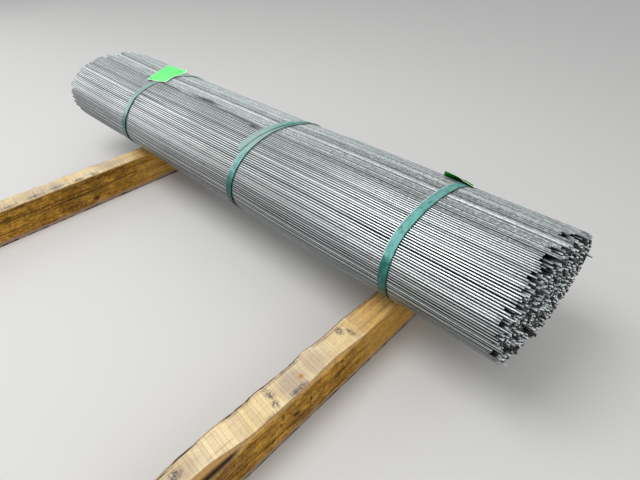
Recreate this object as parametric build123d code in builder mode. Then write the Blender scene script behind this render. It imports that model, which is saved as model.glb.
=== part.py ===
from build123d import *
import os
from math import atan2, cos, degrees, radians, sin

os.makedirs("parts", exist_ok=True)

# Driving dimensions, in millimetres and degrees.
# The rods lie along X, the bearers along Y, and the floor is z = 0.
rod_diameter = 8.0
rod_length = 2400.0
rod_gap = 0.4                # air between two rods of the outer layer
rod_sides = 12               # a rod's round is drawn with this many flats

# Section of the strapped bundle: a flattened round, drawn as four tangent arcs.
bundle_width = 520.0
bundle_height = 336.0
bundle_side_radius = 145.0
bundle_offset = 275.0        # the bundle's centre line from the bearers' middle

# The rods were never knocked flush, so each one starts a little off its neighbours.
stagger_step = 12.0
stagger_steps = 7
stagger_turn = 0.618         # share of the steps between one rod and the next

# The hidden rods are one plain core, and some of their ends stand proud of it.
core_recess = 0.0            # the core's end face, back from the rods' middle ends
proud_spacing = 40.0         # across flats of the comb that the proud ends stand on
proud_sides = 6
proud_step = 9.0
proud_steps = 4

strap_width = 32.0
strap_thickness = 1.2
strap_left_inset = 510.0     # from the rods' left ends to the strap's middle
strap_right_inset = 383.0    # from the rods' right ends
strap_middle_offset = 99.0   # from the bundle's middle
lap_left_lean = (16.0, 46.0)     # where each lap starts and ends, as lean of the surface
lap_middle_lean = (8.0, -26.0)
lap_right_lean = (6.0, -52.0)
lap_middle_drift = 32.0      # the middle strap's end has slid off its own band

tag_width = 106.0
tag_length = 190.0
tag_thickness = 0.8
tag_curl_length = 45.0
tag_curl_radius = 110.0
tag_left_lean = 1.0          # lean of the surface where the card touches it
tag_left_turn = 25.0
tag_left_shift = -31.0       # the card's middle from its strap
tag_left_slide = 39.0        # the card's middle from where it touches, along the card
tag_right_lean = 41.0
tag_right_turn = 22.0
tag_right_shift = -42.0
tag_right_slide = 7.0

bearer_width = 103.0
bearer_height = 157.0
bearer_length = 1800.0
bearer_edge_round = 4.0
bearer_left_inset = 462.0    # from the rods' left ends to the bearer's middle
bearer_right_inset = 417.0   # from the rods' right ends
bearer_shift = 22.0          # the two bearers don't start level with each other
wane_width = 16.0            # bark edge lost from one top corner
wane_depth = 11.0

clearance = 0.3              # air between pieces that only rest on each other

# Places that follow from the sizes above.
strap_room = 2 * clearance + strap_thickness
bundle_centre_z = bearer_height + strap_room + bundle_height / 2
strap_left_x = strap_left_inset - rod_length / 2
strap_right_x = rod_length / 2 - strap_right_inset
bearer_left_x = bearer_left_inset - rod_length / 2
bearer_right_x = rod_length / 2 - bearer_right_inset


class Oval:
    """The bundle's outline, drawn a distance inside its outer surface."""

    def __init__(self, inset):
        half_width = bundle_width / 2 - inset
        self.half_height = bundle_height / 2 - inset
        self.side_radius = bundle_side_radius - inset
        self.side_centre = half_width - self.side_radius
        rise = self.half_height - self.side_radius
        reach = self.side_centre**2 + self.half_height**2 - self.side_radius**2
        self.flat_radius = reach / (2 * rise)
        self.flat_centre = self.flat_radius - self.half_height
        self.turn = degrees(atan2(self.flat_centre, self.side_centre))

    def arcs(self):
        """The two tight side arcs and the two flat ones between them."""
        CenterArc((self.side_centre, 0), self.side_radius, -self.turn, 2 * self.turn)
        CenterArc((0, -self.flat_centre), self.flat_radius, self.turn, 180 - 2 * self.turn)
        CenterArc((-self.side_centre, 0), self.side_radius, 180 - self.turn, 2 * self.turn)
        CenterArc((0, self.flat_centre), self.flat_radius, 180 + self.turn, 180 - 2 * self.turn)

    def point(self, lean):
        """Point of the upper outline whose normal leans from upright towards +Y."""
        angle = radians(lean)
        if abs(lean) < 90 - self.turn:
            return self.flat_radius * sin(angle), self.flat_radius * cos(angle) - self.flat_centre
        side = self.side_centre if lean > 0 else -self.side_centre
        return side + self.side_radius * sin(angle), self.side_radius * cos(angle)


def section_plane(x):
    """Plane across the bundle at x: its local x is the width, its local y is up."""
    return Plane(origin=(x, bundle_offset, bundle_centre_z), x_dir=(0, 1, 0), z_dir=(1, 0, 0))


# Outer layer: single rods side by side all round, with uneven ends.
with BuildLine() as layer_line:
    Oval(rod_diameter / 2).arcs()
layer_path = layer_line.wire()
rod_count = int(layer_path.length // (rod_diameter + rod_gap))
rod_centres = [layer_path @ (i / rod_count) for i in range(rod_count)]

with BuildPart() as outer_rods:
    for step in range(stagger_steps):
        shift = (step - (stagger_steps - 1) / 2) * stagger_step
        row = [p for i, p in enumerate(rod_centres) if int(i * stagger_turn % 1 * stagger_steps) == step]
        with BuildSketch(section_plane(shift - rod_length / 2)):
            with Locations(*[(p.X, p.Y) for p in row]):
                RegularPolygon(rod_diameter / 2, rod_sides)
        extrude(amount=rod_length)
outer_rods.part.label = "outer_rods"
export_step(outer_rods.part, "parts/outer_rods.step")

# Core: the hidden rods as one plain oval bar inside the outer layer.
core_inset = rod_diameter + rod_gap
core_half_length = rod_length / 2 - core_recess
with BuildPart() as rod_core:
    with BuildSketch(section_plane(-core_half_length)):
        with BuildLine():
            Oval(core_inset).arcs()
        make_face()
    extrude(amount=2 * core_half_length)
rod_core.part.label = "rod_core"
export_step(rod_core.part, "parts/rod_core.step")


def proud_ends(name, side):
    """Ends of inner rods that stand past the core's end face, on a comb inside the outline."""
    end_plane = section_plane(side * core_half_length)
    margin = Oval(core_inset + rod_diameter)
    with BuildLine() as margin_line:
        margin.arcs()
    field = make_face(margin_line.edges(), mode=Mode.PRIVATE)
    columns = int(bundle_width / proud_spacing) + 1
    rows = int(bundle_height / proud_spacing) + 3
    comb = HexLocations(proud_spacing / 2, columns, rows)
    spots = [spot.position for spot in comb.locations if field.face().is_inside(spot.position)]
    with BuildPart() as ends:
        for step in range(proud_steps):
            row = [p for i, p in enumerate(spots) if int(i * stagger_turn % 1 * proud_steps) == step]
            with BuildSketch(end_plane):
                with Locations(*[(p.X, p.Y) for p in row]):
                    RegularPolygon(rod_diameter / 2, proud_sides)
            extrude(amount=side * proud_step * (step + 1))
    ends.part.label = name
    export_step(ends.part, f"parts/{name}.step")


proud_ends("proud_ends_left", -1)
proud_ends("proud_ends_right", 1)


def strap(name, x, lap_lean, drift):
    """One band pulled tight round the bundle, its free end lapped over itself on top."""
    inner = Oval(-clearance)
    middle = Oval(-clearance - strap_thickness)
    outer = Oval(-clearance - 2 * strap_thickness)
    start_y = middle.point(lap_lean[0])[0] + bundle_offset
    end_y = middle.point(lap_lean[1])[0] + bundle_offset
    left = x - strap_width / 2
    with BuildPart() as lap:
        with BuildSketch(section_plane(left - drift)):
            with BuildLine():
                outer.arcs()
            make_face()
            with BuildLine():
                middle.arcs()
            make_face(mode=Mode.SUBTRACT)
        extrude(amount=strap_width + drift)
        with BuildSketch(Plane.XY.offset(bundle_centre_z)):
            with BuildLine():
                Polyline(
                    (left, start_y),
                    (left + strap_width, start_y),
                    (left + strap_width - drift, end_y),
                    (left - drift, end_y),
                    close=True,
                )
            make_face()
        extrude(amount=bundle_height, mode=Mode.INTERSECT)
    with BuildPart() as band:
        with BuildSketch(section_plane(left)):
            with BuildLine():
                middle.arcs()
            make_face()
            with BuildLine():
                inner.arcs()
            make_face(mode=Mode.SUBTRACT)
        extrude(amount=strap_width)
        add(lap.part)
    band.part.label = name
    export_step(band.part, f"parts/{name}.step")


strap("strap_left", strap_left_x, lap_left_lean, 0)
strap("strap_middle", strap_middle_offset, lap_middle_lean, lap_middle_drift)
strap("strap_right", strap_right_x, lap_right_lean, 0)


def tag(name, x, lean, turn, slide):
    """One card lying on a strap, flat but for a far end that curls up."""
    touch_y, touch_z = Oval(-strap_room).point(lean)
    touch = Vector(x, bundle_offset + touch_y, bundle_centre_z + touch_z)
    slope = radians(lean)
    twist = radians(turn)
    across = (cos(twist), sin(twist) * cos(slope), -sin(twist) * sin(slope))
    card_plane = Plane(origin=touch, x_dir=across, z_dir=(0, sin(slope), cos(slope)))
    middle = touch + card_plane.y_dir * slide
    profile_plane = Plane(origin=middle, x_dir=card_plane.y_dir, z_dir=card_plane.x_dir)
    curl_angle = degrees(tag_curl_length / tag_curl_radius)
    with BuildPart() as card:
        with BuildSketch(profile_plane):
            with BuildLine():
                flat = Line(
                    (-tag_length / 2, tag_thickness / 2),
                    (tag_length / 2 - tag_curl_length, tag_thickness / 2),
                )
                JernArc(start=flat @ 1, tangent=flat % 1, radius=tag_curl_radius, arc_size=curl_angle)
            trace(line_width=tag_thickness)
        extrude(amount=tag_width / 2, both=True)
    card.part.label = name
    export_step(card.part, f"parts/{name}.step")


tag("tag_left", strap_left_x + tag_left_shift, tag_left_lean, tag_left_turn, tag_left_slide)
tag("tag_right", strap_right_x + tag_right_shift, tag_right_lean, tag_right_turn, tag_right_slide)


def bearer(name, x, y):
    """One sawn timber on edge, with bark wane along its top left corner."""
    with BuildPart() as timber:
        with BuildSketch(Plane.XZ.offset(-y - bearer_length / 2)):
            with Locations((x, bearer_height / 2)):
                Rectangle(bearer_width, bearer_height)
        extrude(amount=bearer_length)
        long_edges = timber.edges().filter_by(Axis.Y)
        wane_edge = long_edges.group_by(Axis.Z)[-1].sort_by(Axis.X)[0]
        wane_face = timber.faces().sort_by(Axis.Z)[-1]
        chamfer(wane_edge, length=wane_width, length2=wane_depth, reference=wane_face)
        square_edges = timber.edges().filter_by(Axis.Y).group_by(Axis.X)[-1]
        fillet(square_edges, bearer_edge_round)
    timber.part.label = name
    export_step(timber.part, f"parts/{name}.step")


bearer("bearer_left", bearer_left_x, bearer_shift)
bearer("bearer_right", bearer_right_x, -bearer_shift)
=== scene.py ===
from math import atan2, cos, pi, radians, sin

import bpy
import numpy as np
from mathutils import Euler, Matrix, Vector


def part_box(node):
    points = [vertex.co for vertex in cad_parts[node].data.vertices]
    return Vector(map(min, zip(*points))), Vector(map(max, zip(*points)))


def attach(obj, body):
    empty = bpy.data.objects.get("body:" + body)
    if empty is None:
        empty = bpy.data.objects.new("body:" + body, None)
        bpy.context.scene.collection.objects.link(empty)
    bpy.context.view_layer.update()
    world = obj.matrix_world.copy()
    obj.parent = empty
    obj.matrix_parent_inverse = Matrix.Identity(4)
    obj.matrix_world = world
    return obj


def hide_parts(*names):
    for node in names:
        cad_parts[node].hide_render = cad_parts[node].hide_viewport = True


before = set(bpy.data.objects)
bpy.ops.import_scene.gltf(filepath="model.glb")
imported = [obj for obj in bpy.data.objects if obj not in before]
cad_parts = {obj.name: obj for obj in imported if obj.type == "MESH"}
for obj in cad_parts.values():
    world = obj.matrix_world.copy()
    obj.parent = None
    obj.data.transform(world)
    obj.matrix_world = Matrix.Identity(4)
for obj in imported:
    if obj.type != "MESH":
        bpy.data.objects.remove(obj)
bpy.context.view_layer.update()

# Sizes in metres. The rods lie along X, the bearers along Y, the floor is z = 0.
ROD_RADIUS = 0.004
ROD_PITCH = 2 * ROD_RADIUS
ROD_LENGTH = 2.4
ROD_COUNT = 2240
RING_COUNT = 165  # rods that show on the bundle's surface
GRAIN_COUNT = 9  # patches of close packing inside the bundle
SETTLING_TURNS = 160
END_CHAMFER = 0.0006
END_SLOPE = 0.1  # spread of the slopes at which the rods' ends were sheared
OUTER_BARED = 0.016  # length of an outer rod's end that stands clear of its neighbours
INNER_BARED = 0.03
BUNDLE_WIDTH = 0.52
BUNDLE_HEIGHT = 0.336
SIDE_RADIUS = 0.145
MAX_SHIFT = 0.036  # the most that a rod sticks out past its even place
MAX_SHORT = 0.06  # the most that a right end stands back from it
BULGE = 0.003  # swell between the straps
BULGE_RUN = 0.3  # how far from a strap the swell is full
END_BULGE = 0.4  # share of the swell beyond the outer straps
SAG = 0.006  # how far the lowest rods hang down between the bearers
WAIST = 0.032  # share by which the bundle is thinner near its left strap
WAIST_X = -0.45
WAIST_LEFT = 0.25  # share of the waist that is left at the left ends

STRAP_WIDTH = 0.032
STRAP_THICKNESS = 0.0012
STRAP_LIFT = 0.0018  # how far a strap's right edge stands off the rods
GLINT_WIDTH = 0.003  # painted highlight along a strap's left edge
PLY_GAP = 0.0002  # air under a lapped end
CLEARANCE = 0.0003

CARD_WIDTH = 0.106
CARD_LENGTH = 0.19
CARD_THICKNESS = 0.0008
CARD_LIFT = 0.0008  # air between a card's resting place and the strap under it
HOLE_RADIUS = 0.004
LEFT_TURN = radians(25)  # the left card's turn from the rods, and its slide along itself
LEFT_SLIDE = 0.039
RIGHT_TURN = radians(22)
RIGHT_SLIDE = 0.007

FAR_END_CUT = 0.012  # what the left bearer lacks of its length at its hidden end
SIDE_INSET = 0.0015  # what a bearer's rough sides and top keep inside its even box
TOP_INSET = 0.0008
SEED_STEP = 17.3  # moves a bearer's noise to a place of its own, by its seed

# The faces round a bearer's section: number of points, and which way each looks in x and z.
BEARER_FACES = {
    "bottom": (10, 0.0, -1.0),
    "right": (22, 1.0, 0.0),
    "lip": (6, 0.7, 0.7),
    "top": (20, 0.0, 1.0),
    "wane": (7, -0.7, 0.7),
    "left": (16, -1.0, 0.0),
}


def middle_x(node):
    low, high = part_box(node)
    return (low.x + high.x) / 2


core_low, core_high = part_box("rod_core")
CENTRE_Y = (core_low.y + core_high.y) / 2
CENTRE_Z = (core_low.z + core_high.z) / 2
CROWN_Z = CENTRE_Z + BUNDLE_HEIGHT / 2
STRAP_X = [middle_x("strap_left"), middle_x("strap_right")]
BAND_MIDDLE_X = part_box("strap_middle")[1].x - STRAP_WIDTH / 2
SQUEEZED_X = np.array([STRAP_X[0], BAND_MIDDLE_X, STRAP_X[1]])
BEARER_X = [middle_x("bearer_left"), middle_x("bearer_right")]

# The photograph's own view: place in metres, turn in degrees, lens in millimetres.
EYE_PLACE = (1.3697, -0.8332, 1.27)
EYE_TURN = (90 - 38.563, 0.07, 43.261)
EYE_LENS = 26.153

# Lamps: place, size and power. The low one far to the left gives the rods their highlights.
LAMPS = {
    "key": ((-0.5, -1.2, 3.9), 2.2, 85),
    "end_fill": ((3.4, -1.4, 1.9), 2.0, 20),
    "low_sky": ((-4.6, -1.4, 2.3), 2.8, 46),
}

# Rods that slid out of the right end: places in the section from its middle, and how far
# as a share of the most.
SLID_OUT = [(0.24, 0.02, 1.0), (-0.085, -0.063, 0.8), (-0.093, -0.062, 0.8)]

# Leans, in degrees, of the widest gaps on the top, which get black painted shade, and of rods there that
# stay shiny.
OPEN_GAPS = [9.0, 1.5, -6.2, -8.2]
SHINY_RODS = [4.0, 12.0, -8.9, -4.5]

# Dark smears on the top: x, y from the bundle's middle, half length, half width, strength.
SMEARS = [(-0.345, -0.02, 0.12, 0.019, 1.0), (-0.13, -0.0372, 0.2, 0.018, 0.45),
          (0.02, -0.0492, 0.045, 0.016, 0.85)]

# Groups of rods round the outline: where each group starts, as lean of the surface in
# degrees, and how far its rods sit to the right of their even place, in millimetres.
END_STEPS = [
    (-180, -10), (-124, -26), (-117, -3), (-110, -30), (-98, -8), (-90, -32), (-86.5, -15), (-80, -26),
    (-75, -22), (-70, -14), (-65, -42), (-60.5, -24), (-57, -8), (-50, -34), (-46.5, -2), (-42, -15),
    (-36, -22), (-31, -20), (-25, -26), (-20, -34), (-17, -18), (-12.5, -22), (-9.5, -34), (-5.5, 2),
    (-3, -36), (0, -14), (2.5, 2), (8.5, -42), (13, -30), (15.5, -18), (17.3, 18), (20, 2), (26, 10),
    (60, -6),
]


def smooth(value, low, high):
    """Nought up to low, one from high on, and an even S between."""
    part = np.clip((np.asarray(value, float) - low) / (high - low), 0, 1)
    return part * part * (3 - 2 * part)


class Oval:
    """The bundle's outline, drawn a distance inside its outer surface."""

    def __init__(self, inset=0.0):
        half_width = BUNDLE_WIDTH / 2 - inset
        self.half_height = BUNDLE_HEIGHT / 2 - inset
        self.side_radius = SIDE_RADIUS - inset
        self.side_centre = half_width - self.side_radius
        rise = self.half_height - self.side_radius
        reach = self.side_centre**2 + self.half_height**2 - self.side_radius**2
        self.flat_radius = reach / (2 * rise)
        self.flat_centre = self.flat_radius - self.half_height
        self.turn = atan2(self.flat_centre, self.side_centre)

    def at(self, lean):
        """Points whose normals lean by these angles from upright towards +Y."""
        lean = np.asarray(lean, float)
        flat = np.abs(np.cos(lean)) > sin(self.turn)
        up = np.where(np.cos(lean) >= 0, 1.0, -1.0)
        out = np.where(np.sin(lean) >= 0, 1.0, -1.0)
        side_y = out * self.side_centre + self.side_radius * np.sin(lean)
        flat_z = self.flat_radius * np.cos(lean) - up * self.flat_centre
        y = np.where(flat, self.flat_radius * np.sin(lean), side_y)
        z = np.where(flat, flat_z, self.side_radius * np.cos(lean))
        return np.stack([y, z], -1)

    def spaced(self, diameter, gaps):
        """Leans of rods side by side all round, with what room is left shared out as the gaps."""
        lean = np.linspace(-pi, pi, 4001)
        steps = np.hypot(*np.diff(self.at(lean), axis=0).T)
        run = np.concatenate([[0.0], np.cumsum(steps)])
        spare = run[-1] - diameter * len(gaps)
        place = np.cumsum(diameter + spare * gaps / gaps.sum())
        return np.interp(place, run, lean)

    def depth(self, points):
        """How far inside the outline each point is, and the outward direction there."""
        sign = np.where(points < 0, -1.0, 1.0)
        quarter = np.abs(points)
        from_flat = quarter + [0.0, self.flat_centre]
        beside = np.arctan2(from_flat[:, 1], from_flat[:, 0]) < self.turn
        arm = np.where(beside[:, None], quarter - [self.side_centre, 0.0], from_flat)
        reach = np.hypot(*arm.T)
        radius = np.where(beside, self.side_radius, self.flat_radius)
        return radius - reach, sign * arm / reach[:, None]


def squeeze(x, y, z):
    """A point of the even section, in metres from its middle, as it is at x along the bundle."""
    x = np.asarray(x, float)
    nearest = np.min(np.abs(x[..., None] - SQUEEZED_X), axis=-1)
    swell = BULGE * smooth(nearest, 0, BULGE_RUN)
    beyond = (x > SQUEEZED_X[-1]) | (x < SQUEEZED_X[0])
    swell = np.where(beyond, END_BULGE * swell, swell)
    flare = WAIST_LEFT + (1 - WAIST_LEFT) * smooth(x, -ROD_LENGTH / 2, STRAP_X[0])
    waist = WAIST * smooth(x, STRAP_X[1], WAIST_X) * flare
    wide = (1 - 0.5 * waist) * (1 + swell / (BUNDLE_WIDTH / 2))
    high = (1 - waist) * (1 + swell / (BUNDLE_HEIGHT / 2))
    half_span = (BEARER_X[1] - BEARER_X[0]) / 2
    along_span = (x - (BEARER_X[0] + BEARER_X[1]) / 2) / half_span
    sag = SAG * np.clip(1 - along_span**2, 0, 1) * (0.5 - z / BUNDLE_HEIGHT)
    bottom = -BUNDLE_HEIGHT / 2
    return CENTRE_Y + y * wide, CENTRE_Z + bottom + (z - bottom) * high - swell - sag


def smooth_rows(rng, count, knots, spread):
    """Random rows of knots, one row to a rod, alike in rods that lie side by side."""
    field = rng.normal(size=(count, knots))
    reach = np.arange(-3 * spread, 3 * spread + 1)
    weights = np.exp(-0.5 * (reach / spread) ** 2)
    field = sum(w * np.roll(field, r, axis=0) for w, r in zip(weights, reach))
    return field / field.std()


def along(rows, xs):
    """Rows of knots from end to end of the bundle, read smoothly at the stations xs."""
    place = np.clip((xs / ROD_LENGTH + 0.5), 0, 1) * (rows.shape[1] - 1)
    low = np.minimum(place.astype(int), rows.shape[1] - 2)
    part = place - low
    part = part * part * (3 - 2 * part)
    first = np.take_along_axis(rows, low, axis=1)
    second = np.take_along_axis(rows, low + 1, axis=1)
    return first * (1 - part) + second * part


def value_noise(points, seed):
    """Smooth noise from -1 to 1 at each point, with one lattice cell to a unit."""
    primes = np.array([73856093, 19349663, 83492791])
    base = np.floor(points).astype(np.int64)
    part = points - base
    part = part * part * (3 - 2 * part)
    total = np.zeros(len(points))
    for corner in np.ndindex(2, 2, 2):
        mixed = np.bitwise_xor.reduce((base + np.array(corner)) * primes, axis=1)
        mixed = (mixed ^ (seed * 2654435 + (mixed >> 13))) * 1274126177
        value = ((mixed >> 8) & 0xFFFFFF) / 0x7FFFFF - 1.0
        total += value * np.prod(np.where(corner, part, 1 - part), axis=1)
    return total


def either(rng, count, share, first, second):
    """One value a rod: this share of them from the first number or range, the rest from the second."""
    picked = rng.random(count) < share
    values = [rng.uniform(*v, count) if isinstance(v, tuple) else v for v in (first, second)]
    return np.where(picked, *values)


def ring_corners(stations, sides):
    """Corners of the quads from each ring of points to the next: near, its next, far's next, far."""
    start = np.arange(stations - 1)[:, None] * sides
    near = (start + np.arange(sides)).ravel()
    near_next = (start + (np.arange(sides) + 1) % sides).ravel()
    return near, near_next, near_next + sides, near + sides


def make_piece(name, points, faces, material, attributes, sharp=None):
    """A mesh piece from a point array and a list of face arrays, each of one corner count."""
    mesh = bpy.data.meshes.new(name)
    mesh.vertices.add(len(points))
    mesh.vertices.foreach_set("co", np.asarray(points, np.float32).ravel())
    corners = np.concatenate([f.ravel() for f in faces])
    sizes = np.concatenate([np.full(len(f), f.shape[1]) for f in faces])
    mesh.loops.add(len(corners))
    mesh.loops.foreach_set("vertex_index", corners.astype(np.int32))
    mesh.polygons.add(len(sizes))
    starts = np.concatenate([[0], np.cumsum(sizes)[:-1]])
    mesh.polygons.foreach_set("loop_start", starts.astype(np.int32))
    mesh.update(calc_edges=True)
    mesh.polygons.foreach_set("use_smooth", np.ones(len(sizes), bool))
    if sharp:
        mesh.set_sharp_from_angle(angle=radians(sharp))
    for key, values in attributes.items():
        layer = mesh.attributes.new(key, "FLOAT", "POINT")
        layer.data.foreach_set("value", np.asarray(values, np.float32).ravel())
    mesh.validate()
    piece = bpy.data.objects.new(name, mesh)
    bpy.context.scene.collection.objects.link(piece)
    mesh.materials.append(material)
    return piece


def settle(piece, slot, *nodes):
    """The piece rides on the part's only body and stands for these nodes."""
    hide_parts(*nodes)
    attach(piece, "root")


class Nodes:
    """A node tree, built node by node."""

    def __init__(self, tree):
        self.tree = tree

    def add(self, kind, inputs=None, **settings):
        node = self.tree.nodes.new("ShaderNode" + kind)
        for key, value in settings.items():
            setattr(node, key, value)
        for key, value in (inputs or {}).items():
            self.put(node.inputs[key], value)
        return node

    def put(self, socket, value):
        if isinstance(value, bpy.types.NodeSocket):
            self.tree.links.new(value, socket)
        elif socket.type == "RGBA":
            socket.default_value = (*value, 1.0)
        else:
            socket.default_value = value

    def ramp(self, value, low, high, to_low=0.0, to_high=1.0):
        inputs = {"Value": value, "From Min": low, "From Max": high, "To Min": to_low, "To Max": to_high}
        return self.add("MapRange", inputs, clamp=True).outputs["Result"]

    def blend(self, factor, first, second):
        """The first colour where the factor is nought, the second where it is one."""
        return self.add("Mix", {0: factor, 6: first, 7: second}, data_type="RGBA").outputs[2]

    def tint(self, body, value, low, high, most, colour):
        """The body's colour with another over it, by up to this share, as the value nears high."""
        return self.blend(self.ramp(value, low, high, 0.0, most), body, colour)

    def math(self, operation, first, second=0.0):
        return self.add("Math", {0: first, 1: second}, operation=operation).outputs[0]

    def times(self, *values):
        total = values[0]
        for value in values[1:]:
            total = self.math("MULTIPLY", total, value)
        return total

    def seen_directly(self):
        """One where the ray comes from the camera, a mirror or glass, and nought where it only lights."""
        path = self.add("LightPath").outputs
        seen = self.math("MAXIMUM", path["Is Camera Ray"], path["Is Glossy Ray"])
        return self.math("MAXIMUM", seen, path["Is Transmission Ray"])


class Finish(Nodes):
    """One procedural material."""

    def __init__(self, name, uniform):
        self.material = bpy.data.materials.new(name)
        self.material.use_nodes = True
        super().__init__(self.material.node_tree)
        self.shader = self.tree.nodes["Principled BSDF"]
        for key, value in uniform.items():
            self.shader.inputs[key].default_value = value
        self.place = self.add("TexCoord").outputs["Object"]
        self.normal = self.add("NewGeometry").outputs["Normal"]

    def noise(self, vector, scale, detail=3.0, roughness=0.5, distortion=0.0):
        inputs = {"Vector": vector, "Scale": scale, "Detail": detail, "Roughness": roughness}
        inputs["Distortion"] = distortion
        return self.add("TexNoise", inputs).outputs["Fac"]

    def veins(self, scale, detail=3.0, roughness=0.5, distortion=0.0, turn=(0, 0, 0)):
        """Noise drawn out along the axes whose scale is small."""
        inputs = {"Vector": self.place, "Scale": scale, "Rotation": turn}
        drawn = self.add("Mapping", inputs).outputs["Vector"]
        return self.noise(drawn, 1.0, detail, roughness, distortion)

    def attribute(self, name):
        return self.add("Attribute", attribute_name=name).outputs["Fac"]

    def axis(self, vector, letter):
        return self.add("SeparateXYZ", {"Vector": vector}).outputs[letter]

    def spot(self, centre, radii, place=None):
        """One at the centre, falling to nought at these radii."""
        scale = [1 / r for r in radii]
        inputs = {"Scale": scale, "Location": [-c * s for c, s in zip(centre, scale)]}
        inputs["Vector"] = place or self.place
        moved = self.add("Mapping", inputs).outputs["Vector"]
        length = self.add("VectorMath", {0: moved}, operation="LENGTH").outputs["Value"]
        return self.ramp(length, 0.35, 1.0, 1.0, 0.0)

    def bands(self, run, feature):
        """Cells of uneven length along one axis: their edges or their own random value."""
        node = self.add("TexVoronoi", {"W": run}, voronoi_dimensions="1D", feature=feature)
        if feature == "DISTANCE_TO_EDGE":
            return node.outputs["Distance"]
        return self.add("SeparateColor", {"Color": node.outputs["Color"]}).outputs["Red"]

    def bump(self, height, distance, strength=1.0):
        inputs = {"Height": height, "Distance": distance, "Strength": strength}
        self.put(self.shader.inputs["Normal"], self.add("Bump", inputs).outputs["Normal"])

    def colour(self, socket):
        self.put(self.shader.inputs["Base Color"], socket)

    def set(self, key, socket):
        self.put(self.shader.inputs[key], socket)


def zinc_finish():
    """Galvanised rod: bright facing up, painted shade facing down, black painted shade between rods,
    dusty top, mottled ends.
    """
    f = Finish("galvanised_rod", {})
    tone = f.attribute("tone")
    dust = f.attribute("dust")
    x = f.axis(f.place, "X")
    streak = f.veins((5, 150, 150), 3, 0.6)
    cloud = f.veins((3, 9, 9), 3, 0.55)
    patch = f.veins((12, 45, 45), 3, 0.6)
    speck = f.noise(f.place, 420, 2, 0.6)
    grit = f.veins((100, 210, 210), 3, 0.75)

    bright = f.blend(tone, (0.25, 0.29, 0.29), (0.95, 1, 1))
    matt = f.blend(tone, (0.09, 0.1, 0.1), (0.58, 0.62, 0.62))
    far = f.ramp(x, 0.65, 0)
    matt = f.blend(f.times(far, 0.55), matt, (0.82, 0.88, 0.89))
    matt = f.tint(matt, patch, 0.48, 0.68, 0.5, (0.17, 0.19, 0.19))
    coarse = f.ramp(far, 0, 1, 0.72, 0.4)
    matt = f.blend(f.times(f.ramp(grit, 0.5, 0.59), coarse), matt, (0.08, 0.09, 0.09))
    matt = f.blend(f.times(f.ramp(grit, 0.46, 0.37), coarse), matt, (0.9, 0.96, 0.96))

    body = f.blend(dust, bright, matt)
    body = f.tint(body, streak, 0.45, 0.8, 0.6, (0.3, 0.34, 0.34))
    body = f.tint(body, speck, 0.5, 0.7, 0.4, (0.24, 0.27, 0.27))
    body = f.tint(body, grit, 0.54, 0.68, 0.5, (0.16, 0.18, 0.18))
    body = f.tint(body, cloud, 0.5, 0.75, 0.35, (0.3, 0.33, 0.33))
    ragged = f.ramp(patch, 0.26, 0.44)
    for at_x, offset, half_x, half_y, strength in SMEARS:
        smear = f.spot((at_x, CENTRE_Y + offset, CROWN_Z), (half_x, half_y, 0.06))
        body = f.blend(f.times(smear, ragged, strength), body, (0.032, 0.036, 0.033))

    # Painted shade: rod sides that face down go dark, and the creases between rods black, deeper towards
    # the left end.
    shade = f.blend(f.attribute("lit"), (0.05, 0.057, 0.058), body)
    deeper = f.times(f.ramp(x, -0.45, -1.05, 0, 0.3), f.ramp(dust, 1, 0))
    crease_shade = f.times(f.attribute("crease_shade"), f.math("ADD", deeper, 1))
    shade = f.blend(crease_shade, shade, (0.003, 0.003, 0.004))
    ends = f.blend(tone, (0.008, 0.009, 0.008), (0.86, 0.9, 0.87))
    ends = f.tint(ends, speck, 0.45, 0.62, 0.8, (0.02, 0.02, 0.02))
    f.colour(f.blend(f.attribute("cut_end"), shade, ends))
    f.set("Metallic", f.ramp(dust, 0, 1, 0.75, 0.25))
    f.set("Roughness", f.math("ADD", f.ramp(streak, 0.3, 0.7, 0.27, 0.38), f.times(dust, 0.25)))
    f.bump(speck, 0.0004, 0.5)
    return f.material


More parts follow.
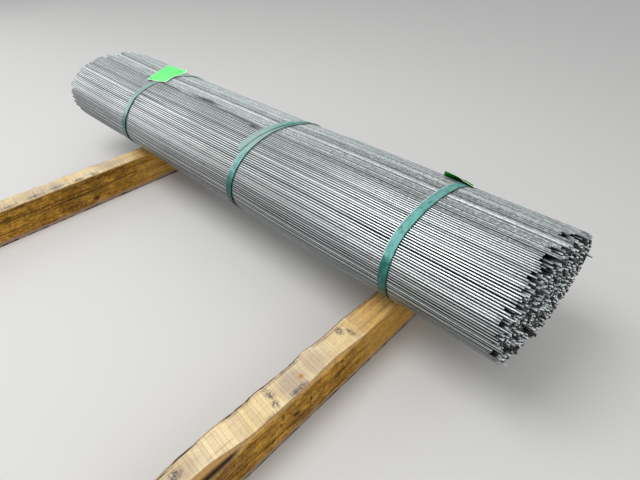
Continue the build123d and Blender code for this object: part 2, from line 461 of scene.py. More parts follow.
def strap_finish():
    """Green polyester strap: a painted pale sky sheen where it faces up, painted deep green shade where
    it turns under.
    """
    f = Finish("green_strap", {"Roughness": 0.38, "Specular IOR Level": 0.28})
    up = f.axis(f.normal, "Z")
    on_top = f.ramp(up, 0.3, 0.6)
    cloud = f.noise(f.place, 22, 3, 0.6)
    patch = f.noise(f.place, 60, 2, 0.7)
    blocks = f.veins((55, 35, 35), 1, 0.4, turn=(0.2, 0, 0.3))
    edge_up = f.math("ADD", up, f.ramp(blocks, 0.3, 0.7, -0.05, 0.05))
    # Painted light by which way the strap faces: deep green painted shade facing down, a pale painted sky
    # sheen facing up.
    green = f.blend(f.ramp(edge_up, -0.3, 0.4), (0.002, 0.04, 0.027), (0.006, 0.13, 0.098))
    green = f.tint(green, edge_up, 0.43, 0.53, 1, (0.165, 0.455, 0.43))
    green = f.tint(green, edge_up, 0.9, 1, 1, (0.11, 0.32, 0.28))
    green = f.tint(green, cloud, 0.46, 0.66, 0.55, (0.07, 0.25, 0.23))
    green = f.tint(green, blocks, 0.56, 0.61, 0.6, (0.035, 0.19, 0.17))
    # Paler patches of painted sheen where it faces up.
    high = f.times(f.ramp(patch, 0.55, 0.75, 0, 0.6), f.ramp(up, 0.2, 0.5))
    green = f.blend(high, green, (0.33, 0.62, 0.58))
    # Painted highlight along the strap's left edge, on top.
    green = f.blend(f.times(f.attribute("edge_glint"), on_top), green, (0.52, 0.78, 0.72))
    # Greyer where it faces up, more so towards the left.
    greyer_leftwards = f.ramp(f.axis(f.place, "X"), 0.45, -0.65, 0, 0.75)
    green = f.blend(f.times(greyer_leftwards, on_top), green, (0.27, 0.38, 0.34))
    # Painted sheen: a pale glare on the left strap and a pale patch where the middle strap bends.
    glare = f.spot((STRAP_X[0] - 0.02, CENTRE_Y + 0.09, CROWN_Z), (0.12, 0.09, 0.08))
    green = f.blend(f.times(glare, 0.85), green, (0.42, 0.49, 0.49))
    bend = f.spot((BAND_MIDDLE_X - 0.01, CENTRE_Y - 0.1, CENTRE_Z + 0.15), (0.1, 0.13, 0.1))
    green = f.blend(f.times(bend, 0.65), green, (0.37, 0.48, 0.45))
    # Painted shade: near black on the strap's underside and the lower half of its edges.
    f.colour(f.blend(f.attribute("under"), green, (0.002, 0.008, 0.006)))
    weave = f.add("TexChecker", {"Vector": f.place, "Scale": 420}).outputs["Fac"]
    f.bump(f.math("ADD", weave, f.noise(f.place, 300)), 0.0002, 0.4)
    return f.material


def card_finish(name, face, shade, edge, back, back_far, gloss):
    """Coated card, a little mottled, paler at the cut edges and partly a painted highlight there, its
    underside in painted light and shade, darker to one end.
    """
    f = Finish(name, {"Roughness": 0.55, "Specular IOR Level": gloss})
    cloud = f.noise(f.place, 30, 4, 0.6)
    fibre = f.veins((90, 260, 90), 4, 0.7)
    body = f.blend(f.ramp(cloud, 0.3, 0.7), face, shade)
    # Painted light and shade on the underside: the back colour at one end, fading to the far one at the
    # other.
    under = f.blend(f.attribute("across"), back, back_far)
    body = f.blend(f.attribute("under"), body, under)
    # Pale cut edges, made paler still as a painted highlight.
    body = f.blend(f.attribute("rim"), body, edge)
    f.colour(f.blend(f.attribute("hole"), body, (0.02, 0.05, 0.03)))
    f.bump(fibre, 0.0002, 0.4)
    return f.material


class TimberFinish(Finish):
    """Sawn softwood, with the noises that its top and its sides share."""

    def __init__(self, name):
        super().__init__(name, {"Specular IOR Level": 0.12})
        self.cloud = self.noise(self.place, 9, 4, 0.6)
        self.mottle = self.veins((34, 20, 34), 4, 0.65)
        self.rough = self.veins((130, 70, 130), 3, 0.7)
        self.grain = self.veins((120, 4, 120), 5, 0.65, 0.3)
        self.lines = self.veins((150, 2.5, 150), 3, 0.6, 0.3)


def weathered_top(f, saw_cuts, weathering, stroke, patchy):
    """Cream, with tones that change from one saw cut to the next, and where the cuts are."""
    wobble = f.veins((30, 6, 30), 2)
    run = f.math("ADD", f.axis(f.place, "Y"), f.times(wobble, 0.005))
    run = f.math("ADD", run, f.times(f.axis(f.place, "X"), 0.1))
    wide = f.times(run, saw_cuts)
    dense = f.times(run, 3.4 * saw_cuts)
    cut = f.ramp(f.bands(wide, "DISTANCE_TO_EDGE"), 0, 0.028, 0.8, 0)
    small_cut = f.ramp(f.bands(dense, "DISTANCE_TO_EDGE"), 0.2 * stroke, stroke, 1, 0)
    cream = f.blend(f.ramp(f.grain, 0.3, 0.7), (0.98, 0.77, 0.43), (0.82, 0.59, 0.29))
    cream = f.tint(cream, f.cloud, 0.4, 0.7, 1, (0.94, 0.78, 0.5))
    cream = f.blend(f.times(f.attribute("grey"), 0.75), cream, (0.46, 0.37, 0.3))
    cream = f.tint(cream, f.bands(wide, "F1"), 0.3, 1, patchy, (0.54, 0.41, 0.28))
    strokes = f.times(f.ramp(f.lines, 0.55, 0.7, 0, 0.6), f.ramp(f.mottle, 0.42, 0.6))
    cream = f.blend(strokes, cream, (0.34, 0.23, 0.13))
    cream = f.blend(f.times(cut, f.ramp(f.mottle, 0.34, 0.56)), cream, (0.22, 0.16, 0.12))
    striped = f.times(
        small_cut,
        f.ramp(f.bands(dense, "F1"), 0.25, 0.6),
        f.ramp(f.attribute("across"), 0.15, 0.8, 0.35, 1),
        f.ramp(f.rough, 0.28, 0.46),
        weathering,
    )
    cream = f.blend(striped, cream, (0.13, 0.135, 0.15))
    return f.tint(cream, f.rough, 0.6, 0.72, 0.5, (0.36, 0.25, 0.16)), cut


def rough_side(f, cracks):
    """Golden brown with dark grain, and where its cracks are."""
    honey = f.blend(f.ramp(f.grain, 0.34, 0.64), (0.64, 0.33, 0.04), (0.27, 0.108, 0.008))
    honey = f.tint(honey, f.mottle, 0.46, 0.6, 0.8, (0.8, 0.435, 0.065))
    honey = f.tint(honey, f.cloud, 0.46, 0.62, 0.65, (0.17, 0.075, 0.012))
    honey = f.tint(honey, f.lines, 0.54, 0.66, 0.8, (0.08, 0.036, 0.008))
    honey = f.tint(honey, f.rough, 0.52, 0.66, 0.75, (0.075, 0.036, 0.008))
    honey = f.tint(honey, f.rough, 0.42, 0.32, 0.5, (0.8, 0.47, 0.11))
    wander = f.veins((2, 0.7, 16), 1, 0.3)
    where = f.veins((1, 3, 12), 1)
    away = f.math("ABSOLUTE", f.math("SUBTRACT", wander, 0.5))
    crack = f.times(f.ramp(away, 0.0033, 0.011, 1, 0), f.ramp(where, 0.45, 0.52))
    jitter = f.times(f.math("SUBTRACT", f.mottle, 0.5), 0.02)
    shift = f.add("CombineXYZ", {"Y": jitter, "Z": jitter}).outputs["Vector"]
    bent = f.add("VectorMath", {0: f.place, 1: shift}, operation="ADD").outputs["Vector"]
    for y, z, half_y, half_z in np.array(cracks) / 1000:
        crack = f.math("MAXIMUM", crack, f.spot((0, y, z), (10, half_y, half_z), bent))
    # Painted shade in the cracks, and in the pits below.
    honey = f.blend(f.times(crack, 0.9), honey, (0.022, 0.012, 0.006))
    pits = f.veins((70, 40, 70), 2)
    return f.tint(honey, pits, 0.66, 0.72, 0.8, (0.035, 0.02, 0.01)), crack


def timber_finish(name, saw_cuts, weathering, stroke, patchy, cracks):
    """Sawn softwood: cream weathered top with saw marks, rough golden sides, muddy feet."""
    f = TimberFinish(name)
    cream, cut = weathered_top(f, saw_cuts, weathering, stroke, patchy)
    honey, crack = rough_side(f, cracks)
    body = f.blend(f.attribute("top"), honey, cream)
    wet = f.blend(f.ramp(f.grain, 0.35, 0.65), (0.98, 0.58, 0.14), (0.44, 0.2, 0.038))
    wet = f.tint(wet, f.rough, 0.52, 0.68, 0.5, (0.13, 0.055, 0.014))
    body = f.blend(f.attribute("damp"), body, wet)
    body = f.blend(f.attribute("ridge"), body, (0.6, 0.34, 0.12))
    fine = f.veins((420, 30, 420), 4, 0.7)
    body = f.tint(body, fine, 0.58, 0.74, 0.5, (0.14, 0.075, 0.035))
    layered = f.times(f.attribute("wane"), f.ramp(f.lines, 0.46, 0.54))
    body = f.blend(layered, body, (0.04, 0.036, 0.034))
    rag = f.ramp(f.noise(f.place, 130, 3, 0.7), 0.36, 0.56)
    body = f.blend(f.times(f.attribute("stain"), rag), body, (0.1, 0.085, 0.1))
    body = f.blend(f.attribute("knot"), body, (0.52, 0.25, 0.04))
    # Painted shade in the recess where the right timber's edge split off.
    body = f.blend(f.attribute("split_shade"), body, (0.03, 0.018, 0.01))
    height = f.math("ADD", f.axis(f.place, "Z"), f.times(f.mottle, -0.04))
    body = f.blend(f.ramp(height, -0.01, 0.006), (0.42, 0.3, 0.22), body)
    f.colour(f.blend(f.ramp(height, -0.018, -0.013), (0.07, 0.05, 0.04), body))
    f.set("Roughness", f.ramp(f.grain, 0.3, 0.7, 0.48, 0.75))
    ridges = f.math("SUBTRACT", f.grain, f.times(f.math("MAXIMUM", crack, cut), 0.8))
    f.bump(f.math("ADD", ridges, f.times(f.rough, 0.9)), 0.0016, 0.8)
    return f.material


def grain_fill(rng, inside, wanted):
    """Rod centres inside the outline: a few close-packed grains, each turned its own way."""
    grains = rng.uniform(-1, 1, (GRAIN_COUNT, 2)) * [BUNDLE_WIDTH / 2, BUNDLE_HEIGHT / 2]
    turns = rng.uniform(0, pi / 3, GRAIN_COUNT)
    i, j = np.mgrid[-90:91, -90:91]
    spacing = 1.1 * ROD_PITCH
    fill = []
    while len(fill) < wanted:
        spacing *= 0.998
        cells = []
        for grain, turn in zip(grains, turns):
            y = ((i + 0.5 * j) * spacing).ravel()
            z = (j * spacing * 0.75**0.5).ravel()
            spots = np.stack([y * cos(turn) - z * sin(turn), y * sin(turn) + z * cos(turn)], -1) + grain
            spots = spots[inside.depth(spots)[0] > 0]
            home = np.hypot(*(spots[:, None] - grains[None]).transpose(2, 0, 1)).argmin(1)
            cells.append(spots[np.all(grains[home] == grain, axis=1)])
        fill = np.concatenate(cells)
    fill = fill[rng.permutation(len(fill))[:wanted]]
    return fill + rng.normal(0, 0.0004, fill.shape)


def pack_section(rng):
    """Rod centres in the section, from its middle: the outer ring first, then the loose fill."""
    gaps = 0.25 + either(rng, RING_COUNT, 0.18, (1.0, 2.2), 0)
    sunk = np.abs(rng.normal(0, 0.0004, RING_COUNT))
    sunk += either(rng, RING_COUNT, 0.12, (0.0006, 0.0016), 0)
    lean = Oval(ROD_RADIUS).spaced(ROD_PITCH, gaps)
    ring = Oval(ROD_RADIUS).at(lean)
    ring -= np.stack([np.sin(lean), np.cos(lean)], -1) * sunk[:, None]
    inside = Oval(1.02 * ROD_PITCH + ROD_RADIUS)
    points = np.concatenate([ring, grain_fill(rng, inside, ROD_COUNT - RING_COUNT)])
    free = np.arange(len(points)) >= RING_COUNT
    for turn in range(SETTLING_TURNS):
        if turn % 10 == 0:
            gap2 = ((points[:, None, :] - points[None, :, :]) ** 2).sum(-1)
            first, second = np.nonzero(np.triu(gap2 < (1.35 * ROD_PITCH) ** 2, 1))
        apart = points[first] - points[second]
        reach = np.hypot(*apart.T) + 1e-9
        push = (np.clip(1.006 * ROD_PITCH - reach, 0, None) / reach)[:, None] * apart * 0.5
        move = np.zeros_like(points)
        np.add.at(move, first, push)
        np.add.at(move, second, -push)
        points[free] += 0.9 * move[free]
        depth, outward = inside.depth(points)
        points -= np.where(free, np.clip(-depth, 0, None), 0)[:, None] * outward
    return points


def rod_shifts(rng, points):
    """How far each rod sticks out to the right of its even place."""
    spots = np.column_stack([points / 0.03, np.zeros(len(points))])
    groups = value_noise(spots, 3) * 0.006 + value_noise(spots * 2.7, 5) * 0.004
    slant = 0.001 + 0.017 * points[:, 0] / (BUNDLE_WIDTH / 2)
    shifts = groups + slant + rng.normal(0, 0.006, len(points))
    shifts -= either(rng, len(points), 0.05, (0.008, 0.025), 0)
    outward = Oval().depth(points[:RING_COUNT])[1]
    lean = np.degrees(np.arctan2(outward[:, 0], outward[:, 1]))
    starts, steps = np.array(END_STEPS).T
    step = steps[np.searchsorted(starts, lean, side="right") - 1] / 1000
    shifts[:RING_COUNT] = step + rng.normal(0, 0.0055, RING_COUNT)
    shifts[RING_COUNT:] = np.clip(shifts[RING_COUNT:], -MAX_SHIFT, 0.022)
    for y, z, share in SLID_OUT:
        shifts[np.hypot(*(points - [y, z]).T).argmin()] = share * MAX_SHIFT
    return np.clip(shifts, -MAX_SHORT, MAX_SHIFT)


def inner_shading(rng, points, outward, around, near_end):
    """An inner rod is black with painted shade but for its bared end, and many of those ends get that
    painted shade too.
    """
    count = len(points)
    end_shade = either(rng, count, 0.46, (0.85, 1.0), 0)
    crease_shade = np.maximum(1 - near_end, end_shade[:, None, None]) * np.ones((count, 1, len(around)))
    return crease_shade, smooth(around[None, :, 1], 0.3, 0.8), np.zeros((count, 1))


def outer_shading(rng, points, outward, around, near_end):
    """Painted shade: how black the gaps beside each rod are and how much sky its sides see; and its dust.
    """
    count = len(points)
    facing = np.einsum("sk,nk->ns", around, outward)
    dusty = smooth(points[:, :1], -0.085, -0.03) * smooth(outward[:, 1:], 0.55, 0.85)
    gap_dark = either(rng, count, 0.76, 1.0, (0.25, 0.75))
    gap_dusty = either(rng, count, 0.3, 1.0, (0.1, 0.6))
    gap_dark += (gap_dusty - gap_dark) * dusty[:, 0]
    lean = np.degrees(np.arctan2(outward[:, 0], outward[:, 1]))
    for open_lean in OPEN_GAPS:
        gap_dark[np.abs(lean - open_lean).argmin()] = 1.0
    next_way = np.stack([outward[:, 1], -outward[:, 0]], -1)
    beside_next = np.einsum("sk,nk->ns", around, next_way) > 0
    strength = np.where(beside_next, gap_dark[:, None], np.roll(gap_dark, 1)[:, None])
    bare = 0.2 + 0.8 * smooth(facing, -0.1, 0.45)
    under = smooth(-outward[:, 1:], 0.25, 0.7)
    crease_edge = np.where(strength >= 1, 0.96, 0.9)
    crease_shade = smooth(facing, crease_edge, crease_edge - 0.18) * strength * (1 - 0.4 * under)
    crease_shade = crease_shade[:, None] * (1 - near_end * (1 - bare[:, None]))
    low_side = smooth(-outward[:, 1:], -0.3, 0.3)
    towards_sky = smooth(around[:, 1], -0.05 - 0.35 * low_side, 0.4 - 0.25 * low_side)
    # Painted shade: rods on the bundle's underside get a mid tone, paler on their upper sides.
    lit = towards_sky * (1 - under) + (0.58 + 0.25 * around[:, 1]) * under
    lit = lit + (1 - lit) * 0.5 * dusty
    streaky = rng.uniform(0.7, 1.0, (count, 1))
    for shiny_lean in SHINY_RODS:
        streaky[np.abs(lean - shiny_lean).argmin()] = 0.45
    return crease_shade, lit, dusty * streaky


def rod_mesh(name, points, shifts, tones, drift, sides, stations, inner, seed, material):
    """Many rods in one mesh, each a bent tube with small end chamfers and sheared end faces."""
    rng = np.random.default_rng(seed)
    count = len(points)
    half = ROD_LENGTH / 2
    bared = INNER_BARED if inner else OUTER_BARED
    middle = np.linspace(-half + bared, half - bared, stations - 2)
    xs = np.concatenate([[-half, -half + END_CHAMFER], middle, [half - END_CHAMFER, half]])
    rings = len(xs)
    radii = np.full(rings, ROD_RADIUS)
    radii[[0, -1]] -= END_CHAMFER
    share = xs / ROD_LENGTH + 0.5
    left_shifts = np.maximum(shifts, -MAX_SHIFT)
    place = xs + left_shifts[:, None] * (1 - share) + shifts[:, None] * share
    outward = Oval().depth(points)[1]
    sideways = np.stack([-outward[:, 1], outward[:, 0]], -1)
    tangent, radial = drift(place)
    centre = points[:, None] + tangent[..., None] * sideways[:, None]
    centre = centre + radial[..., None] * outward[:, None]
    angle = 2 * pi * (np.arange(sides) + 0.5) / sides
    around = np.stack([np.cos(angle), np.sin(angle)], -1)
    section = centre[:, :, None] + radii[:, None, None] * around
    x = np.broadcast_to(place[:, :, None], section.shape[:3]).copy()
    tilt = rng.normal(0, END_SLOPE, (count, 2, 2))
    for end, ring in ((0, slice(0, 2)), (1, slice(rings - 2, rings))):
        lean = (around * tilt[:, end, None]).sum(-1) * ROD_RADIUS
        x[:, ring] += lean[:, None]
    x = np.clip(x, -half - MAX_SHIFT, half + MAX_SHIFT)
    y, z = squeeze(x, section[..., 0], section[..., 1])
    body = np.stack([x, y, z], -1)
    near_end = smooth(np.abs(xs), half - bared, half - END_CHAMFER)[:, None]
    shading = inner_shading if inner else outer_shading
    crease_shade, lit, dust = shading(rng, points, outward, around, near_end)
    cap_tones = either(rng, count, 0.7, (0, 0.1), (0.6, 1.0))

    def spread(values, on_caps):
        """Values by rod and side, and by ring too if they have one, then one value for all caps."""
        values = values[:, None] if values.ndim == 2 else values
        walls = np.broadcast_to(values, section.shape[:3]).reshape(-1)
        return np.concatenate([walls, np.full(2 * count * sides, on_caps)])

    attributes = {
        "tone": np.concatenate([np.repeat(tones, rings * sides), np.repeat(cap_tones, 2 * sides)]),
        "crease_shade": spread(crease_shade, 0.0),
        "lit": spread(lit, 1.0),
        "dust": spread(dust, 0.0),
        "cut_end": spread(np.zeros((1, 1)), 1.0),
    }
    near, near_next, far_next, far = ring_corners(rings, sides)
    starts = np.arange(count)[:, None, None] * rings * sides
    walls = starts + np.stack([near_next, far_next, far, near], -1)
    caps = count * rings * sides + np.arange(2 * count * sides).reshape(count, 2, sides)
    faces = [walls.reshape(-1, 4), caps[:, 0], caps[:, 1, ::-1]]
    all_points = np.concatenate([body.reshape(-1, 3), body[:, [0, -1]].reshape(-1, 3)])
    return make_piece(name, all_points, faces, material, attributes)


def build_rods():
    rng = np.random.default_rng(8)
    points = pack_section(rng)
    shifts = rod_shifts(rng, points)
    tones = either(rng, len(points), 0.14, (0.1, 0.45), (0.5, 1.0))
    material = zinc_finish()
    slow = smooth_rows(rng, RING_COUNT, 7, 9) * 0.0008
    own = smooth_rows(rng, RING_COUNT, 12, 1) * 0.0003
    sink = np.abs(smooth_rows(rng, RING_COUNT, 9, 1)) * 0.0004

    def ring_drift(place):
        return along(slow, place) + along(own, place), -along(sink, place)

    def no_drift(place):
        return np.zeros_like(place), np.zeros_like(place)

    def rods(chosen):
        return points[chosen], shifts[chosen], tones[chosen]

    ring = rods(slice(0, RING_COUNT))
    skin = rod_mesh("outer_rod_layer", *ring, ring_drift, 20, 20, False, 1, material)
    settle(skin, "rod_steel", "outer_rods")
    order = np.arange(RING_COUNT, len(points))
    order = order[np.argsort(Oval().depth(points[order])[0], kind="stable")]
    for part, chosen in enumerate(np.array_split(order, 2)):
        name = f"inner_rods_{part + 1}"
        inner = rod_mesh(name, *rods(chosen), no_drift, 12, 4, True, 2 + part, material)
        settle(inner, "rod_steel", "rod_core", "proud_ends_left", "proud_ends_right")


def path_at(path, leans):
    """The strap's middle at each lean, read from a few places and rounded at their corners."""
    where, xs = np.array(path).T
    turned = (np.degrees(leans) + 180) % 360 - 180
    offsets = np.array([-12, -6, 0, 6, 12])[:, None]
    return np.interp(turned + offsets, where, xs / 1000).mean(0)


def ribbon(name, leans, lifts, middles, tilt, bias, material):
    """One strap: a flat band that follows the bundle's outline through these leans."""
    half = STRAP_WIDTH / 2
    round_off = STRAP_THICKNESS / 2
    inner = half - round_off
    profile = [(-inner, 0.0), (0.0, 0.0), (inner, 0.0), (half, 0.5),
               (inner, 1.0), (0.0, 1.0), (-inner + GLINT_WIDTH, 1.0), (-inner, 1.0), (-half, 0.5)]
    near_end = smooth(np.arange(len(leans)), len(leans) - 14, len(leans) - 1)
    rows = []
    for x, share in profile:
        ripple = 0.0004 * np.abs(np.sin(leans * 23.0)) * (abs(x) / half)
        lift = CLEARANCE + lifts + share * STRAP_THICKNESS + ripple + tilt * (0.5 + 0.5 * x / half)
        at_lean = leans + bias * (x / half) * near_end
        outward = np.stack([np.sin(at_lean), np.cos(at_lean)], -1)
        at = Oval().at(at_lean) + outward * lift[:, None]
        y, z = squeeze(middles + x, at[:, 0], at[:, 1])
        rows.append(np.stack([middles + x, y, z], -1))
    grid = np.stack(rows, 1)
    stations, sides = grid.shape[:2]
    first_cap = np.arange(sides)[::-1][None, :]
    last_cap = (stations - 1) * sides + np.arange(sides)[None, :]
    faces = [np.stack(ring_corners(stations, sides), -1), first_cap, last_cap]
    if leans[-1] < leans[0]:
        faces = [f[:, ::-1] for f in faces]
    # Painted shade on the strap's underside and the lower half of its edges, less where a lapped end lies
    # on the ply below, and the painted edge highlight along the top's left edge.
    lapped = smooth(lifts, 0.0, 0.5 * STRAP_THICKNESS)[:, None]
    under = np.array([[1 - share for _, share in profile]]) * (1 - 0.8 * lapped)
    edge_glint = np.array([[float(x <= -inner) * share for x, share in profile]]) * np.ones((stations, 1))
    attributes = {"under": under, "edge_glint": edge_glint}
    return make_piece(name, grid.reshape(-1, 3), faces, material, attributes, sharp=40)


def build_straps():
    material = strap_finish()
    # Ways round the bundle: lean in degrees and x in millimetres.
    left_path = [
        (-180, -700), (-118, -722), (-90, -697), (-60, -680), (-35, -682), (-12, -706), (20, -712),
        (180, -700),
    ]
    middle_path = [
        (-180, 95), (-118, 84), (-90, 94), (-60, 103), (-30, 108), (-16, 101), (-1, 97), (8, 111),
        (19, 120), (60, 105), (180, 95),
    ]
    middle_lap = [(-180, 70), (-26, 70), (-13, 73), (-6, 79), (6, 95), (16, 108), (180, 108)]
    right_path = [(-180, 817), (-96, 820), (-60, 816), (-12, 813), (15, 820), (180, 817)]
    # Each one's way round, the way of its lapped end, the leans where it starts and ends, the
    # slant of that end, and the leans between which its right edge comes down on the rods.
    straps = {
        "left": (left_path, left_path, 16, 46, 0.0, (-32, -20)),
        "middle": (middle_path, middle_lap, 18, -24, radians(-2.5), (60, 90)),
        "right": (right_path, right_path, 6, -52, 0.0, (12, 26)),
    }
    for name, (path, lap, start, end, bias, pressed) in straps.items():
        way = 1 if end > start else -1
        run = np.linspace(0, 360 + abs(end - start), 320)
        leans = np.radians(start + way * run)
        turned = (start + way * run + 180) % 360 - 180
        lifts = smooth(run, 348, 360) * (STRAP_THICKNESS + PLY_GAP)
        tilt = STRAP_LIFT * smooth(np.cos(leans), -0.7, -0.3) * (1 - smooth(turned, *pressed))
        share = smooth(run, 335, 362)
        middles = path_at(path, leans) * (1 - share) + path_at(lap, leans) * share
        band = ribbon(f"strap_band_{name}", leans, lifts, middles, tilt, bias, material)
        settle(band, "strap_plastic", f"strap_{name}")


def card(name, node, slot, material, x, lean, turn, slide, bend, holes):
    """One thin card: a grid over its width and length, bent by a function, with real thickness."""
    columns, rows = 42, 72
    u, v = np.meshgrid(np.linspace(-0.5, 0.5, columns), np.linspace(-0.5, 0.5, rows))
    y, z = squeeze(x, *Oval(-2 * CLEARANCE - STRAP_THICKNESS).at(lean))
    across = np.array([cos(turn), sin(turn) * cos(lean), -sin(turn) * sin(lean)])
    normal = np.array([0, sin(lean), cos(lean)])
    onward = np.cross(normal, across)
    centre = np.array([x, y, z + CARD_LIFT]) + slide * onward
    flat = (u * CARD_WIDTH)[..., None] * across + (v * CARD_LENGTH)[..., None] * onward
    lower = centre + flat + bend(u, v)[..., None] * normal
    upper = lower + CARD_THICKNESS * normal
    points = np.concatenate([lower.reshape(-1, 3), upper.reshape(-1, 3)])
    index = np.arange(rows * columns).reshape(rows, columns)
    a, b, c, d = index[:-1, :-1], index[:-1, 1:], index[1:, 1:], index[1:, :-1]
    tops = np.stack([a, b, c, d], -1).reshape(-1, 4) + rows * columns
    bottoms = np.stack([d, c, b, a], -1).reshape(-1, 4)
    loop = np.concatenate([index[0, :-1], index[:-1, -1], index[-1, :0:-1], index[:0:-1, 0]])
    ahead = np.roll(loop, -1)
    rims = np.stack([loop, ahead, ahead + rows * columns, loop + rows * columns], -1)
    rim = np.zeros((rows, columns))
    rim[-1, :] = 0.4
    rim[:, 0] = 0.4
    rim[:2, :] = 1
    rim[:, -2:] = 1
    hole = np.zeros((rows, columns))
    for at_u, at_v in holes:
        hole += np.hypot((u - at_u) * CARD_WIDTH, (v - at_v) * CARD_LENGTH) < HOLE_RADIUS
    across_it = smooth(u, -0.45, 0.25)
    attributes = {
        "rim": np.stack([rim, rim]),
        "under": np.stack([np.ones_like(rim), np.zeros_like(rim)]),
        "hole": np.stack([np.zeros_like(rim), hole]),
        "across": np.stack([across_it, across_it]),
    }
    piece = make_piece(name, points, [tops, bottoms, rims], material, attributes, sharp=50)
    settle(piece, slot, node)


def build_cards():
    bright = (0.13, 0.87, 0.19), (0.2, 0.95, 0.27), (0.84, 1.0, 0.82)
    deep = (0.01, 0.2, 0.012), (0.015, 0.26, 0.02), (0.92, 1.0, 0.82)
    # Each card's underside colours, the two after its three face colours, are painted light and shade.
    light = card_finish("bright_green_card", *bright, (0.02, 0.25, 0.03), (0.01, 0.12, 0.02), 0.4)
    dark = card_finish("dark_green_card", *deep, (0.0, 0.52, 0.01), (0.0, 0.04, 0.002), 0.1)

    def left_bend(u, v):
        """Sags towards its near corner, and its far corner folds up."""
        near = -0.0015 - 0.002 * u
        far = -0.0008 - 0.0225 * u
        folded = np.clip((u - 0.09) / 0.41 + (v - 0.4) / 0.1 - 1, 0, 1)
        rise = near * (0.5 - v) + far * (0.5 + v) + 0.011 * folded + 0.0008 * np.sin(9 * u + 4 * v)
        run = (LEFT_SLIDE + v * CARD_LENGTH) * cos(LEFT_TURN) + u * CARD_WIDTH * sin(LEFT_TURN)
        resting = -run**2 / (2 * Oval().flat_radius) - 0.0005 + 0.0018 * smooth(run, -0.002, 0.018)
        return np.maximum(rise, resting)

    def right_bend(u, v):
        upper = np.interp(u, [-0.5, 0.0, 0.2, 0.5], [-0.0018, -0.002, -0.0012, -0.0047])
        droop = 0.0065 * smooth(-v, 0.41, 0.5) * smooth(u, -0.05, 0.15)
        return upper * (0.5 - v) + 0.012 * np.clip(v - 0.2, 0, 1) ** 2 - droop

    card("tag_card_left", "tag_left", "tag_card_light", light, -0.727, radians(1), LEFT_TURN,
         LEFT_SLIDE, left_bend, [(0.28, 0.38), (-0.32, -0.42)])
    card("tag_card_right", "tag_right", "tag_card_dark", dark, 0.775, radians(41), RIGHT_TURN,
         RIGHT_SLIDE, right_bend, [])


def bearer_section(low, high, left_cut, left_drop, lip, lip_drop):
    """Points round the section at each station along a bearer, and the face that each is on."""
    x0 = np.full_like(lip, low.x + SIDE_INSET)
    x1 = np.full_like(lip, high.x - SIDE_INSET)
    z0 = np.zeros_like(lip)
    z1 = np.full_like(lip, high.z - TOP_INSET)
    edges = {
        "bottom": [(x0, z0), (x1, z0)],
        "right": [(x1, z0), (x1, z1 - lip_drop)],
        "lip": [(x1 - 0.4 * lip, z1 - lip_drop), (x1 - lip, z1)],
        "top": [(x1 - lip, z1), (x0 + left_cut, z1)],
        "wane": [(x0 + left_cut, z1), (x0, z1 - left_drop)],
        "left": [(x0, z1 - left_drop), (x0, z0)],
    }
    spots = []
    kind = []
    for face, (start, end) in edges.items():
        count = BEARER_FACES[face][0]
        kind += [face] * count
        for share in np.arange(count) / count:
            spots.append(np.stack(start, -1) * (1 - share) + np.stack(end, -1) * share)
    return np.stack(spots, 1), np.array(kind)


def roughened(section, y, kind, seed):
    """The section's points in space, cut back by open grain, saw ripple and chips."""
    px, pz = section[..., 0], section[..., 1]
    py = np.repeat(y[:, None], len(kind), 1)
    flat = np.stack([px, py, pz], -1).reshape(-1, 3)
    scales = [(90, 4, 90), (40, 22, 40), (16, 9, 16)]
    offset = seed * SEED_STEP
    streak, rough, chips = (value_noise(flat * s + offset, seed + i) for i, s in enumerate(scales))
    depth = 0.0006 * (1 - streak) + 0.0004 * (1 - rough) + 0.0012 * np.clip(chips - 0.2, 0, 1)
    depth = depth.reshape(px.shape)
    depth = np.where(kind == "wane", depth * 2.2, depth)
    depth = np.where(kind == "bottom", 0.0, depth)
    outward = np.array([BEARER_FACES[face][1:] for face in kind])
    px = px - outward[:, 0] * depth
    pz = np.maximum(pz - outward[:, 1] * depth, 0.0)
    return px, py, pz


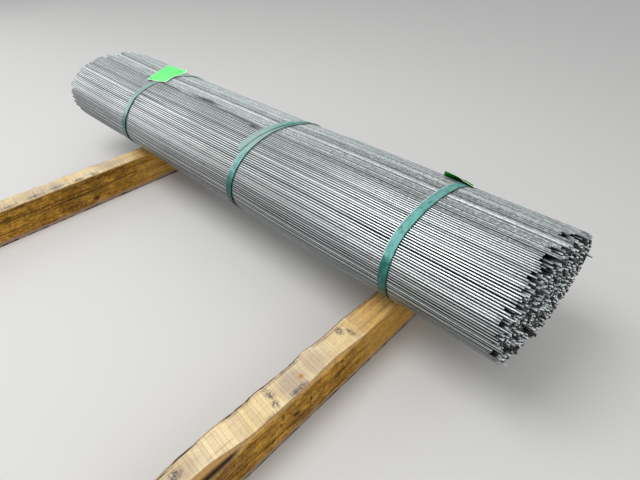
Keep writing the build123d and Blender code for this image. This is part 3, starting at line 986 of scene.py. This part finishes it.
def build_bearer(name, node, material, seed, wane, split, marks, damp_from, far_cut=0.0):
    """One sawn timber: an uneven bar with wane along one edge, saw ripple and open grain."""
    low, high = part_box(node)
    y = np.linspace(low.y, high.y - far_cut, 480)
    left_cut, left_drop = wane(y)
    lip, lip_drop = split(y)
    section, kind = bearer_section(low, high, left_cut, left_drop, lip, lip_drop)
    px, py, pz = roughened(section, y, kind, seed)
    points = np.stack([px, py, pz], -1)
    stations, sides = px.shape
    near, near_next, far_next, far = ring_corners(stations, sides)
    caps = stations * sides + np.arange(2 * sides).reshape(2, 1, sides)
    faces = [np.stack([near, far, far_next, near_next], -1), caps[0], caps[1, :, ::-1]]
    all_points = np.concatenate([points.reshape(-1, 3), points[0], points[-1]])

    on = {face: (kind == face) * np.ones_like(px) for face in BEARER_FACES}
    top = on["top"] + on["wane"] + 0.35 * on["lip"]
    broken = smooth(lip_drop, 0.01, 0.02)[:, None]
    lip_count = BEARER_FACES["lip"][0]
    up_lip = np.zeros(sides)
    up_lip[kind == "lip"] = np.arange(lip_count) / lip_count
    soak = py + 0.03 * value_noise(points.reshape(-1, 3) * 30, seed + 3).reshape(px.shape)
    edge = np.clip(1 - (px - low.x - left_cut[:, None]) / 0.012, 0, 1)
    edge = edge * smooth(left_cut, 0.003, 0.009)[:, None]
    cells = np.stack([px * 14, py * 11, pz * 3], -1).reshape(-1, 3)
    blotch = value_noise(cells + seed * SEED_STEP, seed + 4).reshape(px.shape)

    def ovals(mark):
        """Soft ovals of this kind on the timber's top."""
        total = np.zeros_like(px)
        for *oval, strength in marks[mark]:
            x, y_at, half_x, half_y = np.array(oval) / 1000
            away = np.hypot((px - x) / half_x, (py - y_at) / half_y)
            total = np.maximum(total, strength * smooth(away, 1.3, 0.4))
        return total

    attributes = {
        "top": top,
        "across": np.clip((px - low.x) / (high.x - low.x), 0, 1),
        "damp": smooth(soak, *damp_from) * 0.8,
        "grey": np.maximum(ovals("grey"), smooth(blotch, 0.05, 0.6) * 0.6) * top,
        "stain": ovals("stain") * top,
        "knot": ovals("knot") * top,
        "wane": np.maximum(on["wane"], edge) * top,
        "ridge": on["lip"] * (0.4 + 0.5 * broken),
        # Painted shade in the recess where the lip split off.
        "split_shade": on["lip"] * broken * smooth(up_lip, 0.5, 0.2),
    }
    on_caps = np.zeros(2 * sides)
    attributes = {key: np.concatenate([values.ravel(), on_caps]) for key, values in attributes.items()}
    piece = make_piece(name, all_points, faces, material, attributes, sharp=35)
    settle(piece, "bearer_wood", node)


def build_bearers():
    # Widths of the right timber's wane and of its other edge, in millimetres: y and width.
    right_edge = [
        (-740, 18), (-667, 6), (-568, 2), (-512, 7.5), (-423, 6), (-328, 11.5), (-269, 8), (-232, 1),
        (-189, 8), (-153, 11.5), (-56, 3), (81, 11), (500, 6),
    ]
    right_ridge = [(-620, 2.5), (-554, 7.5), (-351, 7.5), (-185, 13), (-36, 1.5)]

    def read(points, y):
        return np.interp(y, *np.array(points).T / 1000)

    def roughness(y, pitch, seed):
        return np.abs(value_noise(np.stack([y / pitch, y * 0, y * 0], -1), seed))

    def wane_right(y):
        cut = read(right_edge, y) + 0.0025 * roughness(y, 0.02, 12)
        return cut, 1.1 * cut

    def wane_left(y):
        cut = 0.002 + 0.003 * roughness(y, 0.05, 15)
        return cut, 1.2 * cut

    def split_right(y):
        wedge = smooth(y, -0.49, -0.64) * smooth(y, -0.9, -0.8)
        inset = read(right_ridge, y) + 0.0015 * roughness(y, 0.015, 18)
        return inset * (1 - wedge) + 0.028 * wedge, 0.5 * inset + 0.002 + 0.024 * wedge

    def split_left(y):
        inset = 0.0015 + 0.001 * roughness(y, 0.02, 19)
        return inset, inset

    # Marks on the tops: x, y, half width and half length in millimetres, and strength.
    right_marks = {
        "stain": [
            (762, -104, 20, 16, 0.8), (791, -83, 22, 10, 0.8), (770, -400, 24, 15, 0.9),
            (804, -408, 16, 12, 0.9), (735, -510, 6, 8, 1.0), (771, -697, 16, 22, 0.9),
            (818, -335, 10, 40, 0.85), (822, -440, 7, 30, 0.5), (729, -143, 6, 20, 0.9),
        ],
        "knot": [(792, -300, 7, 9, 1.0)],
        "grey": [(790, -330, 50, 55, 1.0), (785, -240, 50, 50, 0.7), (775, -680, 30, 60, 0.7)],
    }
    left_marks = {
        "stain": [
            (-705, -177, 12, 22, 0.9), (-704, -252, 12, 28, 0.9), (-712, -347, 16, 40, 0.8),
            (-708, -446, 14, 45, 0.8), (-705, -560, 14, 45, 0.8),
        ],
        "knot": [],
        "grey": [(-740, -420, 50, 120, 0.6)],
    }
    # Cracks in the sides, in millimetres: y, z, half length and half height.
    left_cracks = [
        (-330, 83, 250, 3), (-600, 52, 160, 2.4), (-207, 39, 22, 12), (-120, 60, 130, 2),
        (136, 97, 30, 12),
    ]
    right_cracks = [
        (-301, 83, 3, 36), (-408, 121, 3, 20), (-359, 81, 22, 16), (-416, 94, 8, 8), (-51, 54, 10, 8),
        (-173, 86, 50, 6), (-200, 26, 160, 4),
    ]
    left = timber_finish("sawn_timber_left", 16.0, 1.0, 0.32, 0.08, left_cracks)
    right = timber_finish("sawn_timber_right", 14.0, 0.2, 0.13, 0.42, right_cracks)
    build_bearer("bearer_timber_left", "bearer_left", left, 21, wane_left, split_left,
                 left_marks, (-0.03, 0.12), FAR_END_CUT)
    build_bearer("bearer_timber_right", "bearer_right", right, 34, wane_right, split_right,
                 right_marks, (-0.12, 0.03))


def build_stage():
    """Plain pale floor, soft sky and three soft lamps."""
    f = Finish("pale_floor", {"Roughness": 0.9})
    f.colour(f.blend(f.seen_directly(), (0.48, 0.47, 0.46), (0.7, 0.69, 0.68)))
    bpy.ops.mesh.primitive_circle_add(vertices=96, radius=14.0, fill_type="NGON", location=(0, 0, 0))
    floor = bpy.context.object
    floor.name = "floor"
    floor.data.materials.append(f.material)

    world = bpy.data.worlds.new("sky")
    bpy.context.scene.world = world
    world.use_nodes = True
    sky = Nodes(world.node_tree)
    colour = sky.blend(sky.seen_directly(), (0.51, 0.52, 0.52), (0.86, 0.88, 0.9))
    sky.put(sky.tree.nodes["Background"].inputs["Color"], colour)

    middle = Vector((0, CENTRE_Y, CENTRE_Z))
    for name, (place, size, power) in LAMPS.items():
        lamp = bpy.data.lights.new(name, "AREA")
        lamp.size = size
        lamp.energy = power
        holder = bpy.data.objects.new(name, lamp)
        holder.location = place
        holder.rotation_euler = (middle - Vector(place)).to_track_quat("-Z", "Y").to_euler()
        bpy.context.scene.collection.objects.link(holder)


def build_camera():
    """The photograph's own view: near the right end, looking down the bundle's length."""
    lens = bpy.data.cameras.new("eye")
    lens.sensor_width = 36.0
    lens.lens = EYE_LENS
    holder = bpy.data.objects.new("eye", lens)
    holder.location = EYE_PLACE
    holder.rotation_euler = Euler([radians(angle) for angle in EYE_TURN])
    bpy.context.scene.collection.objects.link(holder)
    bpy.context.scene.camera = holder


bpy.context.scene.view_settings.view_transform = "Standard"
build_camera()
build_stage()
build_rods()
build_straps()
build_cards()
build_bearers()
